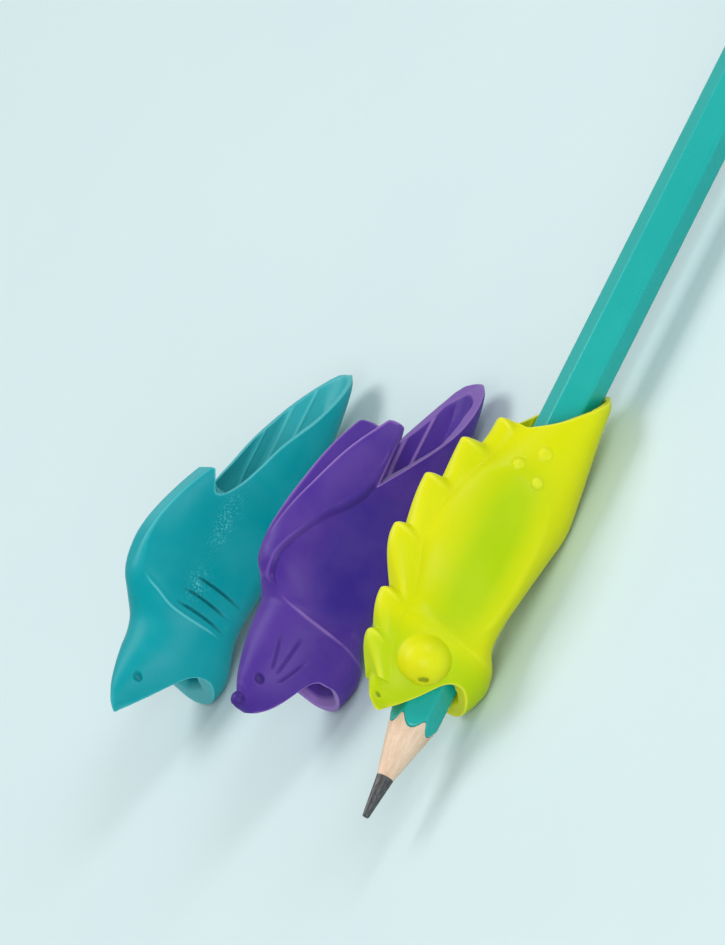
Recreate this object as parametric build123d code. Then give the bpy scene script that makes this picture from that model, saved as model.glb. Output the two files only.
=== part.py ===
"""A set of three animal pencil grips lying in a row, with a pencil through the chameleon.

Millimetres. X runs from the noses to the tails, Z is up from the table, and the
animals' left flanks face -Y. The origin is on the table, below the middle of the
pencil and on the middle plane of the mouse.

Each grip is drawn in its own frame first: x from the tip of the nose, z from the
middle of the bore.
"""
import os

from build123d import *

# The pencil
PENCIL_LENGTH = 132.0
PENCIL_FLATS = 6.6
LACQUER_COAT = 0.12
LEAD_DIAMETER = 2.6
POINT_DIAMETER = 1.0
LEAD_POINT_LENGTH = 6.5
WOOD_HALF_ANGLE = 13.9
POINT_AHEAD_OF_NOSE = 14.4

# The bore that all three grips share
BORE_CLEARANCE = 0.3
BORE_FLATS = PENCIL_FLATS + 2 * BORE_CLEARANCE
BORE_CORNER_RADIUS = 0.8

# How the row lies on the table; the other two noses lie a little ahead of the chameleon's
AXIS_HEIGHT = 7.6
REST_FLAT_BITE = 0.15
ROW_PITCH = 39.3
MOUSE_AHEAD = 1.0
SHARK_AHEAD = 1.6
NOSE_X = POINT_AHEAD_OF_NOSE - PENCIL_LENGTH / 2
REST_DEPTH = AXIS_HEIGHT + REST_FLAT_BITE

# Height over reach of a six-sided figure's upper corners
SIXTY_UP = 3**0.5 / 2

# Shares of a quarter section: a full round one, and its pull towards a ridge
ROUND = 0.5523
RIDGE = 0.33
SOFT_RIDGE = 0.46

# Longer than any grip is wide or tall, for cutters
CUT_REACH = 30.0

# Body sections: x, crown above the axis, belly below it, half width, fullness of the upper half
SHARK_SECTIONS = [
    (0.0, 5.9, 1.5, 0.5, ROUND),
    (0.8, 6.7, 2.4, 1.4, ROUND),
    (2.8, 7.8, 4.0, 2.9, ROUND),
    (6.5, 8.7, 6.0, 5.2, ROUND),
    (9.5, 9.0, 7.5, 6.7, ROUND),
    (12.0, 9.2, REST_DEPTH, 7.4, 0.53),
    (14.3, 10.1, 6.9, 7.9, 0.48),
    (16.5, 12.0, 5.8, 8.2, 0.44),
    (20.0, 15.1, 5.5, 7.9, 0.36),
    (24.0, 16.1, 6.0, 7.5, RIDGE),
    (29.0, 15.3, 6.7, 7.1, RIDGE),
    (34.0, 13.6, 7.6, 6.8, RIDGE),
    (39.0, 11.3, REST_DEPTH, 6.7, 0.38),
    (46.0, 7.6, 6.3, 6.9, SOFT_RIDGE),
    (52.0, 6.2, 5.4, 7.0, ROUND),
    (57.5, 5.4, 4.8, 6.0, ROUND),
    (60.5, 5.0, 4.4, 4.5, ROUND),
    (62.5, 4.4, 3.8, 2.2, ROUND),
]
MOUSE_SECTIONS = [
    (0.0, 6.6, 1.6, 1.0, ROUND),
    (0.8, 7.4, 2.4, 1.9, ROUND),
    (2.2, 8.3, 3.8, 3.3, ROUND),
    (4.1, 9.1, 5.2, 4.7, ROUND),
    (7.1, 9.9, 6.8, 6.1, ROUND),
    (10.0, 10.4, 7.7, 7.0, ROUND),
    (12.3, 10.6, REST_DEPTH, 7.6, ROUND),
    (14.3, 10.7, 6.4, 8.1, ROUND),
    (16.4, 10.9, 5.4, 8.3, 0.54),
    (18.5, 12.4, 5.1, 8.1, 0.52),
    (21.0, 14.3, 5.2, 7.8, 0.5),
    (24.5, 15.0, 5.7, 7.4, 0.52),
    (29.5, 14.6, 6.7, 7.1, 0.54),
    (34.5, 13.7, 7.6, 6.9, ROUND),
    (39.5, 12.6, REST_DEPTH, 6.9, 0.58),
    (46.0, 10.5, 7.0, 7.3, 0.58),
    (52.0, 7.4, 6.1, 7.8, ROUND),
    (56.5, 6.2, 5.5, 7.1, ROUND),
    (59.2, 5.6, 4.9, 5.6, ROUND),
    (61.2, 5.0, 4.1, 2.8, ROUND),
]
CHAMELEON_SECTIONS = [
    (0.0, 6.5, 1.5, 0.7, ROUND),
    (0.8, 7.7, 2.4, 1.9, ROUND),
    (2.4, 8.8, 4.0, 3.3, ROUND),
    (5.5, 9.8, 6.0, 5.2, ROUND),
    (8.0, 10.4, 7.2, 6.1, ROUND),
    (10.2, 10.8, REST_DEPTH, 6.7, ROUND),
    (12.6, 11.2, 7.1, 7.2, 0.53),
    (15.0, 11.4, 5.5, 7.5, 0.5),
    (19.5, 12.5, 4.9, 8.0, 0.5),
    (25.0, 14.0, 5.6, 8.3, 0.5),
    (30.5, 13.7, 6.7, 8.1, 0.5),
    (36.0, 12.0, REST_DEPTH, 7.6, 0.5),
    (42.0, 9.5, 7.1, 7.0, 0.5),
    (48.0, 7.2, 6.0, 6.9, ROUND),
    (53.0, 6.0, 5.1, 7.0, ROUND),
    (56.0, 5.5, 4.8, 6.0, ROUND),
    (58.0, 5.0, 4.1, 3.2, ROUND),
]

# Level strip along the top of the shark's fin, seen from the side
SHARK_FIN_TOP = [(15.0, 13.4), (20.5, 14.5), (24.5, 14.85), (31.8, 13.35), (42.0, 9.0)]

# Mouth arch seen from the side: snout, cheek, corner of the jaw, back of the arch, lip
SHARK_MOUTH = [(-1.5, 6.3), (4.5, 3.0), (8.4, 0.6), (9.8, -2.6), (8.3, -7.0), (7.2, -9.0)]
MOUSE_MOUTH = [(-0.3, 5.8), (0.7, 4.3), (2.6, 3.0), (6.3, 1.7), (8.2, -1.6), (7.2, -6.6), (6.2, -9.0)]
CHAMELEON_MOUTH = [(-1.0, 6.4), (3.5, 3.2), (6.9, 1.0), (7.8, -1.6), (5.4, -6.0), (3.6, -9.0)]

# Rear cut seen from the side: the edge above the opening, then the slanted rim down to the tip
SHARK_TAIL_EDGE = [(38.6, CUT_REACH), (38.6, 10.0), (36.2, 9.3)]
SHARK_RIM = [(36.2, 9.3), (35.2, 8.4), (36.0, 7.3), (41.4, 4.9), (46.6, 3.2), (52.0, 0.8), (56.4, -1.0), (60.3, -2.6), (63.0, -4.6)]
MOUSE_TAIL_EDGE = [(46.6, CUT_REACH), (46.9, 9.6), (47.9, 6.8), (47.0, 5.6), (37.4, 6.2)]
MOUSE_RIM = [(37.4, 6.2), (43.0, 2.8), (49.4, -0.6), (53.8, -2.2), (57.6, -3.3), (61.5, -4.8)]
CHAMELEON_TAIL_EDGE = [(47.0, CUT_REACH), (47.0, 8.2), (46.4, 6.8)]
CHAMELEON_RIM = [(46.4, 6.8), (48.7, 3.7), (52.5, 0.3), (55.0, -1.9), (58.5, -5.0)]

# Scoop that the bore opens into: where it starts, then x and the reach of its side, upper and lower corners
SCOOP_MOUTH = BORE_FLATS / 2 / SIXTY_UP - BORE_CORNER_RADIUS * (1 / SIXTY_UP - 1)
SHARK_SCOOP = (34.5, [(43.0, 5.9, 5.5, 4.6), (52.0, 6.1, 5.5, 4.7), (60.0, 4.2, 5.5, 4.4)])
MOUSE_SCOOP = (37.0, [(45.0, 6.2, 5.0, 4.7), (53.0, 6.7, 5.5, 5.0), (60.0, 4.4, 5.5, 4.6)])
CHAMELEON_SCOOP = (43.5, [(50.0, 6.0, 5.5, 4.6), (54.5, 6.0, 5.5, 4.7), (58.0, 4.6, 5.5, 4.4)])

# Finger recess on each flank: middle in x and z, half length, half height, depth
SHARK_RECESS = (28.0, 4.0, 12.0, 7.5, 0.9)
MOUSE_RECESS = (26.5, 3.0, 11.5, 7.5, 1.2)
CHAMELEON_RECESS = (27.0, 4.4, 13.0, 7.5, 1.4)
RECESS_BULGE = 3.0

# Dimples and slits
EYE_DIMPLE_RADIUS = 0.7
SHARK_EYE = (5.6, 7.1)
MOUSE_EYE = (4.7, 7.9)
SLIT_WIDTH = 0.45
SLIT_DEPTH = 0.5
GILL_TOPS = [(17.9, 7.6), (20.2, 7.6), (22.7, 6.6)]
GILL_BOTTOMS = [(16.7, 0.0), (19.0, 0.0), (21.2, -1.2)]
WHISKER_FRONTS = [(6.1, 7.5), (5.6, 6.7), (4.6, 6.0)]
WHISKER_BACKS = [(11.4, 9.0), (11.9, 6.2), (9.3, 3.9)]

# Mouse nose and ears; the ear outline is a side view, closed far above the back
MOUSE_NOSE_RADIUS = 1.3
MOUSE_NOSE_CENTRE = (1.2, 7.4)
EAR_THICKNESS = 0.5
EAR_EDGE = [(18.4, 11.9), (20.0, 13.0), (22.1, 13.5), (27.1, 12.0), (33.3, 8.2), (37.4, 6.2)]
EAR_TIP_X = 50.0
PARTING_START = 24.0
PARTING_DEPTH = 5.8
PARTING_OPENING = 0.55
PARTING_CLEAR = 0.1
PARTING_HEADROOM = 3.0

# Chameleon eyes, crest and bumps
DOME_EYE_RADIUS = 3.5
DOME_EYE_CENTRE = (8.5, 4.7, 5.1)
PUPIL_RADIUS = 0.75
PUPIL_DIRECTION = (-0.78, 0.62, -0.1)
CREST_THICKNESS = 4.4
LEAF_BLUNTNESS = 1.4
# Each spike: x where it leaves the back, highest point, tip, and x where its rear edge comes down
CREST_SPIKES = [
    (4.6, (8.6, 13.1), (9.8, 13.2), 9.6),
    (9.4, (14.4, 13.9), (16.2, 14.1), 15.9),
    (16.4, (22.8, 16.8), (25.4, 16.3), 25.0),
    (25.0, (31.8, 16.0), (34.0, 15.2), 33.6),
    (33.6, (39.4, 13.4), (41.4, 12.5), 41.0),
    (41.0, (45.0, 9.5), (46.8, 8.6), 46.4),
]
SPIKE_ROOT = 5.0
SPIKE_HOLLOW = 1.1
BUMP_RADIUS = 1.1
BUMP_PROUD = 0.5
BUMPS = [(40.7, 6.6), (39.3, 3.0), (43.7, 3.6)]


def side_face(outline):
    """A face seen from the side: x across and z up."""
    return Plane.XZ * Face(Wire(outline))


def through_cut(outline):
    """A side view pushed through the grip to both flanks."""
    return extrude(side_face(outline), amount=CUT_REACH, both=True)


def chain(points):
    """Straight edges from point to point."""
    return [Line(a, b) for a, b in zip(points, points[1:])]


def section(x, crown, belly, half_width, fullness):
    """One body section: four curved quarters between crown, flanks and belly."""
    top, bottom = (0, crown), (0, -belly)
    quarters = []
    for side in (1, -1):
        flank = (side * half_width, 0)
        upper = [(side * half_width, fullness * crown), (side * fullness * half_width, crown)]
        lower = [(side * half_width, -ROUND * belly), (side * ROUND * half_width, -belly)]
        quarters.append((Bezier(flank, *upper, top), Bezier(flank, *lower, bottom)))
    (right_up, right_down), (left_up, left_down) = quarters
    outline = Wire([right_up, left_up, left_down, right_down])
    across = Plane(origin=(x, 0, 0), x_dir=(0, 1, 0), z_dir=(1, 0, 0))
    return across * Face(outline)


def body(sections, growth=0.0):
    """The smooth animal body, thickened by growth all round."""
    grown = [(x, up + growth, down + growth, half + growth, full) for x, up, down, half, full in sections]
    return loft([section(*row) for row in grown])


def half_width_at(shape, x, z):
    """How far the flank of a shape is from its middle plane at one height."""
    probe = Edge.make_line((x, 0, z), (x, CUT_REACH, z))
    inside = probe & shape
    return max(point.Y for edge in inside.edges() for point in edge.vertices())


def both_sides(shape):
    """A piece and its mirror image on the other flank."""
    return [shape, shape.mirror(Plane.XZ)]


def ball(radius):
    """A ball with its poles facing the flanks."""
    return Rot(90, 0, 0) * Sphere(radius)


def flank_ball(shape, x, z, radius, proud=0.0):
    """Balls centred on both flanks, pushed out until they stand proud by the given amount."""
    y = half_width_at(shape, x, z)
    depth = radius - proud if proud else 0.0
    return both_sides(Pos(x, y - depth, z) * ball(radius))


def flank_slit(shape, start, end):
    """Saw cuts on both flanks along the line from start to end."""
    (x0, z0), (x1, z1) = start, end
    middle = ((x0 + x1) / 2, (z0 + z1) / 2)
    half_chord = Vector(x1 - x0, 0, z1 - z0).length / 2
    saw_radius = (half_chord**2 + SLIT_DEPTH**2) / (2 * SLIT_DEPTH)
    y = half_width_at(shape, *middle)
    centre = (middle[0], y - SLIT_DEPTH + saw_radius, middle[1])
    saw_plane = Plane(origin=centre, x_dir=(0, 1, 0), z_dir=(z1 - z0, 0, x0 - x1))
    return both_sides(saw_plane * Cylinder(saw_radius, SLIT_WIDTH))


def finger_recess(shape, x, z, half_length, half_height, depth):
    """Shallow hollows that guide the finger and the thumb."""
    y = half_width_at(shape, x, z)
    bowl = scale(Sphere(1), by=(half_length, RECESS_BULGE, half_height))
    return both_sides(Pos(x, y - depth + RECESS_BULGE, z) * bowl)


def bore_prism(start, end):
    """The six-sided bore, with its corners rounded."""
    hexagon = RegularPolygon(BORE_FLATS / 2, 6, major_radius=False)
    rounded = fillet(hexagon.vertices(), BORE_CORNER_RADIUS)
    return extrude(Plane.YZ.offset(start) * rounded, amount=end - start)


def scoop_section(x, side, upper, lower):
    """Six corners of the scoop at one place along the grip."""
    corners = [(side, 0)] + [(upper / 2, upper * SIXTY_UP), (-upper / 2, upper * SIXTY_UP), (-side, 0)]
    corners += [(-lower / 2, -lower * SIXTY_UP), (lower / 2, -lower * SIXTY_UP)]
    return Plane.YZ.offset(x) * make_face(Polyline(*corners, close=True))


def scoop(start, stations):
    """The bore opening out towards the tail, with six flat walls."""
    first = scoop_section(start, SCOOP_MOUTH, SCOOP_MOUTH, SCOOP_MOUTH)
    return loft([first] + [scoop_section(*station) for station in stations], ruled=True)


def mouth_cut(arch):
    """The opening between the snout and the lower lip."""
    (start_x, start_z), (lip_x, lip_z) = arch[0], arch[-1]
    surround = [(lip_x, lip_z), (lip_x, -CUT_REACH), (-CUT_REACH, -CUT_REACH), (-CUT_REACH, start_z)]
    return through_cut([Spline(*arch)] + chain(surround + [(start_x, start_z)]))


def tail_cut(edge, rim):
    """Everything behind the tail edge and above the slanted rim."""
    far = 3 * CUT_REACH
    surround = [rim[-1], (far, rim[-1][1]), (far, CUT_REACH), edge[0]]
    return through_cut(chain(edge) + [Spline(*rim)] + chain(surround))


def below_table():
    """The space under the table, which flattens the lip and the belly where they rest."""
    far = 4 * CUT_REACH
    return Pos(0, 0, -AXIS_HEIGHT) * Box(far, far, CUT_REACH, align=(Align.CENTER, Align.CENTER, Align.MAX))


def finish_grip(shape, mouth, tail_edge, rim, scoop_sizes):
    """The cuts that every grip has, made last."""
    cuts = [mouth_cut(mouth), tail_cut(tail_edge, rim), bore_prism(-CUT_REACH, 3 * CUT_REACH)]
    cuts += [scoop(*scoop_sizes), below_table()]
    for cut in cuts:
        shape -= cut
    return shape.solids().sort_by(SortBy.VOLUME)[-1]


def above_fin():
    """The space above the level strip along the fin."""
    (front_x, front_z), (rear_x, _) = SHARK_FIN_TOP[0], SHARK_FIN_TOP[-1]
    surround = [SHARK_FIN_TOP[-1], (rear_x, CUT_REACH), (front_x, CUT_REACH), (front_x, front_z)]
    return through_cut([Spline(*SHARK_FIN_TOP)] + chain(surround))


def shark_grip():
    """The grip with a dorsal fin and gills."""
    plain = body(SHARK_SECTIONS) - above_fin()
    shape = plain
    for cutter in finger_recess(plain, *SHARK_RECESS) + flank_ball(plain, *SHARK_EYE, EYE_DIMPLE_RADIUS):
        shape -= cutter
    for top, bottom in zip(GILL_TOPS, GILL_BOTTOMS):
        for cutter in flank_slit(shape, top, bottom):
            shape -= cutter
    return finish_grip(shape, SHARK_MOUTH, SHARK_TAIL_EDGE, SHARK_RIM, SHARK_SCOOP)


def mouse_ears():
    """A thicker layer of the back, cut to the ears' outline."""
    start, tip = EAR_EDGE[0], EAR_EDGE[-1]
    surround = [tip, (EAR_TIP_X, tip[1]), (EAR_TIP_X, CUT_REACH), (start[0], CUT_REACH), start]
    layer = body(MOUSE_SECTIONS, EAR_THICKNESS) & through_cut([Spline(*EAR_EDGE)] + chain(surround))
    return layer


def ear_parting():
    """The notch between the ears, which deepens and opens towards their tips."""
    rows = [row for row in MOUSE_SECTIONS if row[0] > PARTING_START]
    rows = [row for row, before in zip(rows, [rows[0]] + rows) if before[0] < EAR_TIP_X]
    length = rows[-1][0] - PARTING_START
    notches = []
    for x, crown, *_ in rows:
        depth = PARTING_DEPTH * ((x - PARTING_START) / length) ** 2 - PARTING_CLEAR
        floor = crown + EAR_THICKNESS - depth
        top = floor + depth + PARTING_HEADROOM
        half = PARTING_OPENING * (top - floor)
        notch = Polyline((0, floor), (half, top), (-half, top), close=True)
        notches.append(Plane.YZ.offset(x) * make_face(notch))
    return loft(notches, ruled=True)


def mouse_grip():
    """The grip with a ball nose and ears laid back."""
    plain = body(MOUSE_SECTIONS)
    shape = plain
    for cutter in finger_recess(plain, *MOUSE_RECESS) + flank_ball(plain, *MOUSE_EYE, EYE_DIMPLE_RADIUS):
        shape -= cutter
    for front, back in zip(WHISKER_FRONTS, WHISKER_BACKS):
        for cutter in flank_slit(plain, front, back):
            shape -= cutter
    shape += mouse_ears()
    shape -= ear_parting()
    shape = finish_grip(shape, MOUSE_MOUTH, MOUSE_TAIL_EDGE, MOUSE_RIM, MOUSE_SCOOP)
    nose_x, nose_z = MOUSE_NOSE_CENTRE
    shape += Pos(nose_x, 0, nose_z) * ball(MOUSE_NOSE_RADIUS)
    return shape.solids().sort_by(SortBy.VOLUME)[-1]


def crest_spike(leaves_x, high, tip, rear_x):
    """One leaf of the crest: a long curved front, a tip leaning back, and bulging sides."""
    root = high[1] - SPIKE_ROOT
    front = Spline((leaves_x, root), ((leaves_x + high[0]) / 2, high[1] - SPIKE_HOLLOW), high, tip)
    side = through_cut([front] + chain([tip, (rear_x, root), (leaves_x, root)]))
    start, end = (leaves_x, 0), (tip[0] + LEAF_BLUNTNESS, 0)
    middle = (start[0] + end[0]) / 2
    left = ThreePointArc(start, (middle, CREST_THICKNESS / 2), end)
    right = ThreePointArc(end, (middle, -CREST_THICKNESS / 2), start)
    return side & extrude(make_face([left, right]), amount=CUT_REACH)


def chameleon_grip():
    """The grip with a spiked crest and domed eyes."""
    plain = body(CHAMELEON_SECTIONS)
    shape = plain
    for cutter in finger_recess(plain, *CHAMELEON_RECESS):
        shape -= cutter
    for spike in CREST_SPIKES:
        shape += crest_spike(*spike)
    eye = Vector(DOME_EYE_CENTRE)
    pupil = eye + Vector(PUPIL_DIRECTION).normalized() * DOME_EYE_RADIUS
    for dome in both_sides(Pos(eye) * ball(DOME_EYE_RADIUS) - Pos(pupil) * ball(PUPIL_RADIUS)):
        shape += dome
    for x, z in BUMPS:
        for bump in flank_ball(plain, x, z, BUMP_RADIUS, BUMP_PROUD):
            shape += bump
    return finish_grip(shape, CHAMELEON_MOUTH, CHAMELEON_TAIL_EDGE, CHAMELEON_RIM, CHAMELEON_SCOOP)


def pencil_prism(flats):
    """A six-sided bar from the point to the far end of the pencil."""
    return extrude(Plane.YZ * RegularPolygon(flats / 2, 6, major_radius=False), amount=PENCIL_LENGTH)


def sharpened_envelope():
    """What the sharpener leaves: a slim lead point, a steeper wood cone, then more than the bar."""
    tip, lead = POINT_DIAMETER / 2, LEAD_DIAMETER / 2
    wide = PENCIL_FLATS
    slope = Vector(1, 0).rotate(Axis.Z, WOOD_HALF_ANGLE)
    cone_end = LEAD_POINT_LENGTH + (wide - lead) * slope.X / slope.Y
    corners = [(0, 0), (0, tip), (LEAD_POINT_LENGTH, lead), (cone_end, wide)]
    corners += [(PENCIL_LENGTH, wide), (PENCIL_LENGTH, 0), (0, 0)]
    return revolve(Plane.XY * Face(Wire(chain(corners))), Axis.X)


def pencil_pieces():
    """Lead, two glued slats and the lacquer, each as its own solid."""
    envelope = sharpened_envelope()
    core = extrude(Plane.YZ * Circle(LEAD_DIAMETER / 2), amount=PENCIL_LENGTH)
    wood_bar = pencil_prism(PENCIL_FLATS - 2 * LACQUER_COAT)
    wood = (wood_bar & envelope) - core
    upper_side = Box(3 * PENCIL_LENGTH, CUT_REACH, CUT_REACH, align=(Align.CENTER, Align.CENTER, Align.MIN))
    return {
        "pencil_lead": core & envelope,
        "pencil_upper_slat": wood & upper_side,
        "pencil_lower_slat": wood - upper_side,
        "pencil_lacquer": (pencil_prism(PENCIL_FLATS) & envelope) - wood_bar,
    }


def place_all():
    """Every piece by node name, set out in the row."""
    grips = {
        "shark_grip": (shark_grip(), NOSE_X - SHARK_AHEAD, ROW_PITCH),
        "mouse_grip": (mouse_grip(), NOSE_X - MOUSE_AHEAD, 0.0),
        "chameleon_grip": (chameleon_grip(), NOSE_X, -ROW_PITCH),
    }
    placed = {name: Pos(x, y, AXIS_HEIGHT) * shape for name, (shape, x, y) in grips.items()}
    for name, shape in pencil_pieces().items():
        placed[name] = Pos(-PENCIL_LENGTH / 2, -ROW_PITCH, AXIS_HEIGHT) * shape
    return placed


os.makedirs("parts", exist_ok=True)
for node, shape in place_all().items():
    export_step(shape, f"parts/{node}.step")
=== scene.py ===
"""Looks for a row of three moulded animal pencil grips, one of them on a pencil.

Every grip is one closed sheet. A profile runs along the outside of the body from the
mouth to the tail, round the tail rim, back through the bore and round the mouth, and it is
carried once round the bore. A ray points straight out from the bore, and a radius is how far
along its ray a surface lies. Places along a grip are millimetres from the tip of its nose,
and heights are millimetres above the middle of its bore.
"""
import math
from typing import Callable, NamedTuple

import bpy
import numpy as np
from mathutils import Matrix, Vector


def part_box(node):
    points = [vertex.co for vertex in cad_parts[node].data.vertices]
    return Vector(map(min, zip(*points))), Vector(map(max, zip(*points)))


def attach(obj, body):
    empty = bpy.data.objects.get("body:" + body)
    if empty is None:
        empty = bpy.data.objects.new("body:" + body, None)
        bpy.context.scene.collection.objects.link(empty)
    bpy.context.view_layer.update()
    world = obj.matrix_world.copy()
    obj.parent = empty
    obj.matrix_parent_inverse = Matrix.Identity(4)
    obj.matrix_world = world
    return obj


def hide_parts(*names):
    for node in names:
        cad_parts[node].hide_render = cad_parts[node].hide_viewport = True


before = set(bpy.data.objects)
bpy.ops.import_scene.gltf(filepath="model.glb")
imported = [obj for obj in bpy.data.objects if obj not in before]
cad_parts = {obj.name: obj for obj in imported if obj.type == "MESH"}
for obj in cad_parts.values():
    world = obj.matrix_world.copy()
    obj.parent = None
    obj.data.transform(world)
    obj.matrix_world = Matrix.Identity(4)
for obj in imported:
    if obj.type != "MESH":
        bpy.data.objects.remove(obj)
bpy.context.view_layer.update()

MM = 0.001
AXIS_HEIGHT = 7.6
BEYOND = 99.0
TINY = 1e-9

# Body sections: the arm length that makes a cubic quarter round, and steps to find a ray on it
ROUND = 0.5523
HALVINGS = 26

# Bore, and the scoop with its fine ribs: their angles above the flank, and where they rise
BORE_APOTHEM = 3.6
BORE_CORNER = 2 * BORE_APOTHEM / math.sqrt(3)
BORE_LEAST = 0.4 * BORE_APOTHEM
CORNER_CUT = 0.1
TIP_RUN = 6.0
RIB_TURNS = (17.5, -5.0, -28.0)
RIB_HEIGHT = 0.16
RIB_WIDTH = 0.24
RIB_RISE = (2.0, 5.0)

# Crowded rows: the steps that weigh them, and where along and how widely they crowd
CROWD_STEPS = 2001
CROWD_PLACE = 0.18
CROWD_WIDTH = 0.08

# Details that several grips share
LEAST_RISE = 0.15
SHOULDER_LEAD = -0.1
SHOULDER_HOLD = 0.2
DIMPLE_EDGE = 0.3
EYE_DEPTH = 0.5


def ease(low, high, value):
    """0 below low, 1 above high, and a cubic curve between them."""
    t = np.clip((value - low) / (high - low), 0.0, 1.0)
    return t * t * (3.0 - 2.0 * t)


def bell(value, width):
    """One at zero and nothing far away: e to minus the square of value over width."""
    return np.exp(-((value / width) ** 2))


def soft_max(a, b, blend):
    """The larger of two values, with a rounded change-over as wide as blend."""
    near = np.maximum(blend - np.abs(a - b), 0.0) / blend
    return np.maximum(a, b) + near * near * blend * 0.25


def soft_min(a, b, blend):
    """The smaller of two values, with a rounded change-over as wide as blend."""
    return -soft_max(-a, -b, blend)


def averaged(values):
    """Half of each value plus a quarter of the one before and the one after, in a loop."""
    return 0.5 * values + 0.25 * (np.roll(values, 1, axis=0) + np.roll(values, -1, axis=0))


def neighbours(grid):
    """The four grids shifted by one point, each way along both sides of a closed grid."""
    return [np.roll(grid, step, axis=side) for step in (-1, 1) for side in (0, 1)]


def through(points, place):
    """A smooth curve through (place, value) pairs: cubic pieces that share their slopes."""
    at, value = np.array(points, float).T
    slope = np.gradient(value, at)
    i = np.clip(np.searchsorted(at, place) - 1, 0, len(at) - 2)
    span = at[i + 1] - at[i]
    t = np.clip((place - at[i]) / span, 0.0, 1.0)
    start = (1 + 2 * t) * (1 - t) ** 2 * value[i] + t * (1 - t) ** 2 * span * slope[i]
    return start + t * t * (3 - 2 * t) * value[i + 1] - t * t * (1 - t) * span * slope[i + 1]


def stretch(start, end, count, crowd=0.0):
    """Values from start up to but not including end, one column per ray.

    Steps are even, or closer together by a bell of the crowding about a fifth of the way along.
    """
    fine = np.linspace(0.0, 1.0, CROWD_STEPS)
    weight = np.cumsum(1.0 + crowd * bell(fine - CROWD_PLACE, CROWD_WIDTH))
    passed = (weight - weight[0]) / (weight[-1] - weight[0])
    return start + (end - start) * np.interp(np.arange(count) / count, passed, fine)[:, None]


def flank_turn(angle):
    """Angle of a ray above the level of the bore, folded so that both flanks read the same."""
    return np.arctan2(np.sin(angle), np.abs(np.cos(angle)))


def body_radius(sections, x, angle):
    """How far the plain body lies from the bore along each ray.

    A section is four cubic quarters between crown, flanks and belly. Halving finds the
    parameter where the quarter crosses the ray, and the radius is the length to it.
    """
    sections = np.array([(*section, ROUND)[:5] for section in sections])
    crown, belly, half, full = (through(sections[:, [0, k]], x) for k in (1, 2, 3, 4))
    across, up = np.abs(np.cos(angle)), np.abs(np.sin(angle))
    above = np.sin(angle) >= 0
    height = np.where(above, crown, belly)
    full = np.where(above, full, ROUND)
    low, high = np.zeros_like(x), np.ones_like(x)
    for _ in range(HALVINGS):
        t = 0.5 * (low + high)
        y = half * ((1 - t) ** 3 + 3 * (1 - t) ** 2 * t + 3 * full * (1 - t) * t * t)
        z = height * (3 * full * (1 - t) ** 2 * t + 3 * (1 - t) * t * t + t ** 3)
        before = z * across < y * up
        low, high = np.where(before, t, low), np.where(before, high, t)
    return np.hypot(y, z)


def six_sided(angle, side, upper, lower):
    """A six-sided hollow with corners at the flanks and sixty degrees off them, cut off round.

    Between two corners the radius is r1 r2 sin(gap) over r1 sin(from 1) + r2 sin(to 2).
    """
    turn = flank_turn(angle)
    third = math.pi / 3
    wall = np.where(turn >= 0, upper, lower)
    t = np.abs(turn)
    low = np.minimum(t, third)
    slant = side * wall * math.sin(third) / (side * np.sin(low) + wall * np.sin(third - low))
    level = wall * math.sin(third) / np.sin(np.maximum(t, third))
    straight = np.where(t < third, slant, level)
    return soft_min(straight, np.maximum(side, upper) - CORNER_CUT, blend=0.2)


def scoop_ribs(angle, radius):
    """A bell on each of the fine ribs that run along the scoop, nothing between them."""
    turn = flank_turn(angle)
    return sum(bell((turn - math.radians(rib)) * radius, RIB_WIDTH) for rib in RIB_TURNS)


def hollow_way(grip, x, angle, outer):
    """The bore, opening out into the ribbed scoop: its six corners move apart towards the tail."""
    side, upper, lower = (
        BORE_CORNER + ease(start, end, x) * (wide - BORE_CORNER)
        for start, end, wide in grip.scoop
    )
    thicker, more = grip.tip
    wall = grip.wall + more * ease(thicker, thicker + TIP_RUN, x)
    way = np.minimum(six_sided(angle, side, upper, lower), np.maximum(outer - wall, BORE_LEAST))
    begin = grip.scoop[0][0]
    opened = ease(begin + RIB_RISE[0], begin + RIB_RISE[1], x)
    return way - RIB_HEIGHT * opened * scoop_ribs(angle, way)


def flat_top(radius, angle, height, blend):
    """Cuts a body off level at a height: the height over the ray's rise, where it rises."""
    up = np.sin(angle)
    level = np.where(up > LEAST_RISE, height / np.maximum(up, LEAST_RISE), BEYOND)
    return soft_min(radius, level, blend)


def level_belly(radius, angle):
    """Flattens whatever would reach below the table."""
    return flat_top(radius, -angle, AXIS_HEIGHT, blend=0.25)


def finger_hollow(x, z, middle, half_size, depth, blend):
    """Depth times one minus a rounded-box distance from the middle, soft at the edge."""
    u, w = (x - middle[0]) / half_size[0], (z - middle[1]) / half_size[1]
    return soft_max(depth * (1.0 - u ** 4 - w * w), np.zeros_like(x), blend)


def shoulder(x, z, line, depth, run, length, bead, foot, head=(BEYOND, 2 * BEYOND)):
    """A step down behind a line across the flank, rising again over a length, less a raised bead.

    It fades in over the heights of its foot and out over those of its head.
    """
    past = x - through(line, z)
    rising = ease(SHOULDER_HOLD * length, length, past)
    step = ease(SHOULDER_LEAD, run, past) * (1.0 - rising)
    raised, width = bead
    cut = depth * step - raised * bell(past, width)
    return cut * (1.0 - ease(*head, z)) * ease(*foot, z)


def ball_reach(x, angle, place, side, height, radius):
    """Where each ray enters and leaves a ball; zero where it misses. Both flanks carry one."""
    along = np.abs(np.cos(angle)) * side + np.sin(angle) * height
    inside = along ** 2 - ((x - place) ** 2 + side ** 2 + height ** 2 - radius ** 2)
    half = np.sqrt(np.maximum(inside, 0.0))
    met = (inside > 0) & (along > 0)
    return np.where(met, along - half, 0.0), np.where(met, along + half, 0.0)


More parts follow.
